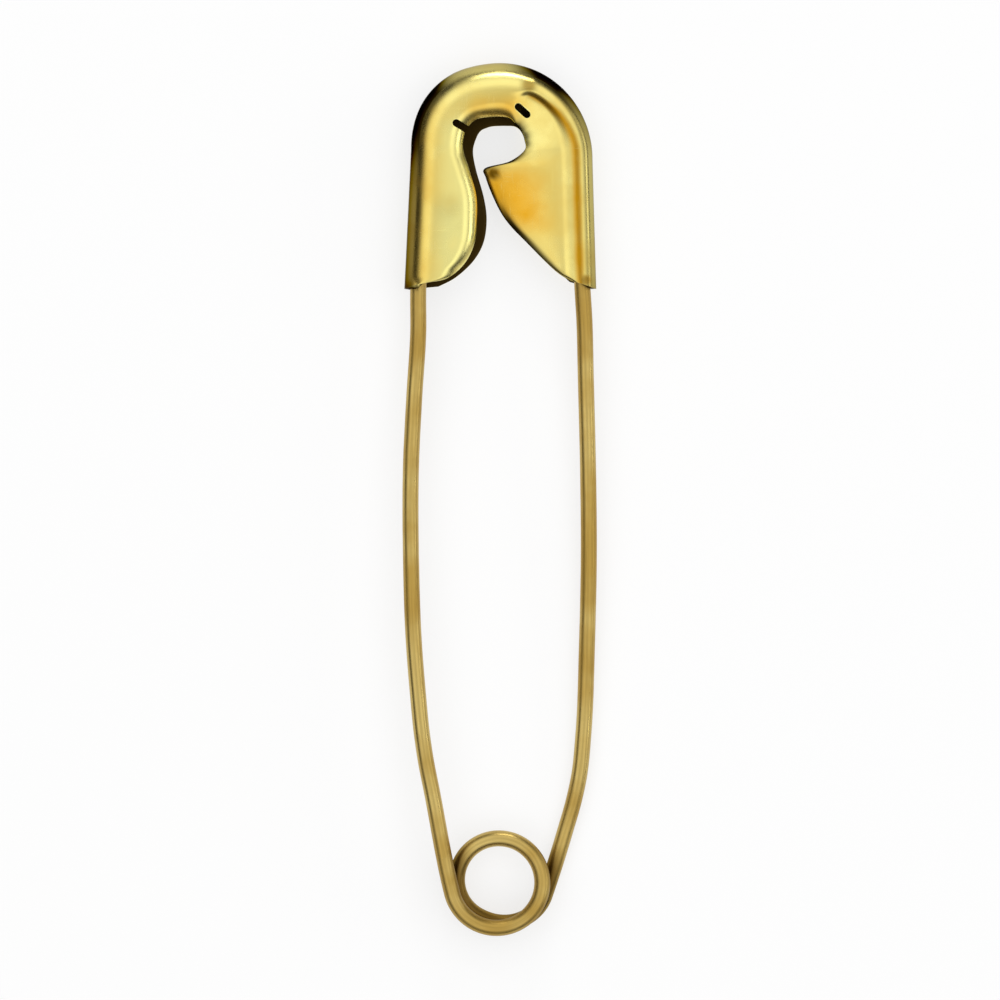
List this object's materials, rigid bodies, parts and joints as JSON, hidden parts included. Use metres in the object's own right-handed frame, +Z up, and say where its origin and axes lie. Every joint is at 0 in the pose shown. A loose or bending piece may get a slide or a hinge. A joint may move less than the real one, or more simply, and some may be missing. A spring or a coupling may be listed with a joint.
{
  "type": "safety pin",
  "caption": "Closed safety pin lying on its back: one spring wire with a coil, and a stamped clasp cap whose guard holds the sharp arm until it is pressed in and lifted out.",
  "frame": {"origin": "middle of the pin's length and width, on the surface that the pin lies on", "axes": "+Y runs from the coil to the clasp cap, +Z is up out of the pin's flat side, +X points to the fixed leg"},
  "size_m": [0.012, 0.0539, 0.0034],
  "materials": {
    "cap": "thin stamped sheet, bright gold plating, darker inside",
    "wire": "drawn round wire, satin gold plating"
  },
  "bodies": {
    "base": {"clasp_cap": "cap", "spring_wire": "wire"},
    "arm_root": {"arm_root": "wire"},
    "pin_arm": {"pin_arm": "wire"}
  },
  "joints": [
    {"name": "pin_turn", "type": "hinge", "parent": "base", "child": "arm_root", "pos_m": [-0.0042, -0.01936, 0.00246], "axis": [0.0058, -0.9997, 0.0226], "range_deg": [0, 172]},
    {"name": "pin_bend", "type": "hinge", "parent": "arm_root", "child": "pin_arm", "pos_m": [-0.00421, -0.01796, 0.00243], "axis": [0.1391, -0.0216, -0.99], "range_deg": [0, 12.5], "stiffness_Nm_per_rad": 0.26}
  ]
}
